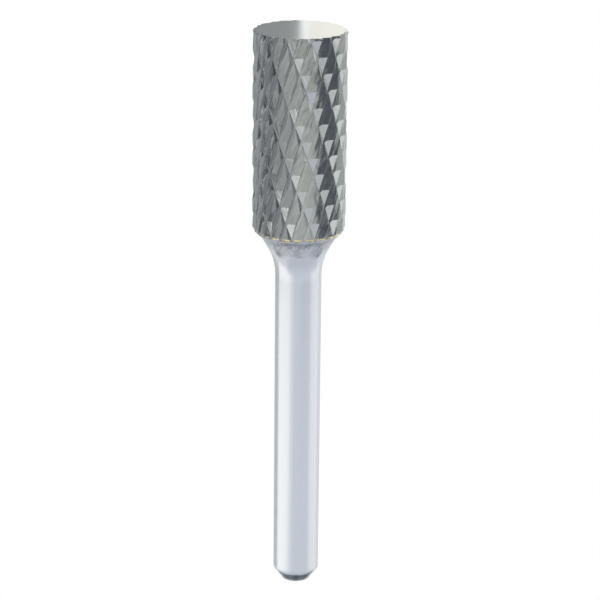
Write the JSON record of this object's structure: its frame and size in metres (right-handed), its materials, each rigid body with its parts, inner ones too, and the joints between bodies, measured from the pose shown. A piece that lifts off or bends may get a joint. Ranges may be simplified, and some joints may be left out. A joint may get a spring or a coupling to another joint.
{
  "type": "carbide burr",
  "caption": "Cylindrical double-cut tungsten carbide rotary burr with a flat, uncut end face, brazed to a turned steel shank that flares out to the head, for a die grinder's collet.",
  "frame": {"origin": "centre of the head's flat end face, on which the burr stands", "axes": "+Z along the axis, from the end face to the tip of the shank; X and Y across it"},
  "size_m": [0.012, 0.012, 0.075],
  "materials": {
    "carbide": "ground tungsten carbide, fine grinding lines along the flutes",
    "braze": "silver-brass braze, ground with the flutes",
    "steel": "ground and polished tool steel, dark cut tip"
  },
  "bodies": {
    "root": {"carbide_head": "carbide", "braze_joint": "braze", "steel_shank": "steel"}
  },
  "joints": []
}
